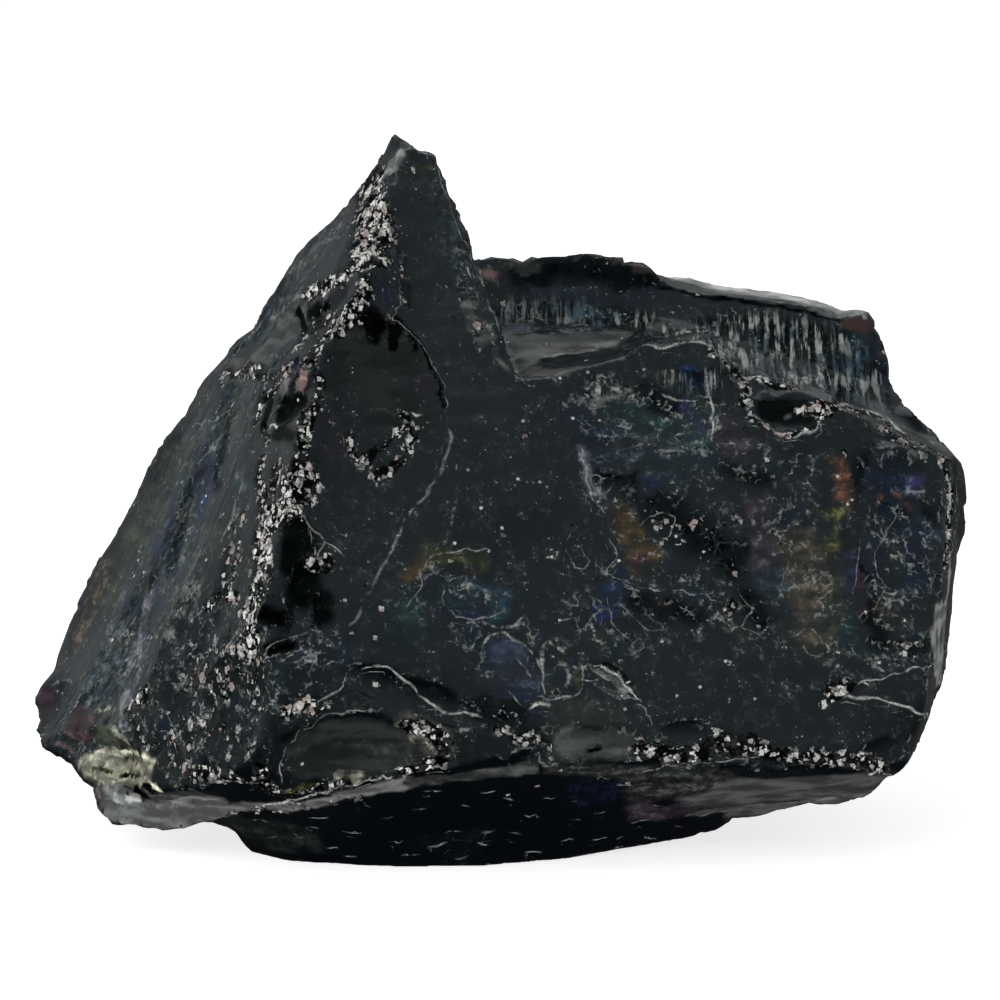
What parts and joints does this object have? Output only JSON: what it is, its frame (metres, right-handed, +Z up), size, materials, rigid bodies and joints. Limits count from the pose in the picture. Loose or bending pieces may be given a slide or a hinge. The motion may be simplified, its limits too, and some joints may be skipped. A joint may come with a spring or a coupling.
{
  "type": "slag glass cullet",
  "caption": "Broken lump of black slag glass: sharp conchoidal fracture faces, a crushed ridge that climbs to a point, a hollow behind the brow and a flat foot to rest on.",
  "frame": {"origin": "middle of the bounding box in plan, on the flat foot that the lump rests on", "axes": "+Z up, +X along the lump's length towards its blunt end, -Y out of its tall front face"},
  "size_m": [0.0944, 0.0602, 0.0695],
  "materials": {
    "slag_glass": "opaque black glass, glossy on the fresh faces, with pale crushed ridges and a thin iridescent patina on the front"
  },
  "bodies": {
    "root": {"glass_cullet": "slag_glass"}
  },
  "joints": []
}
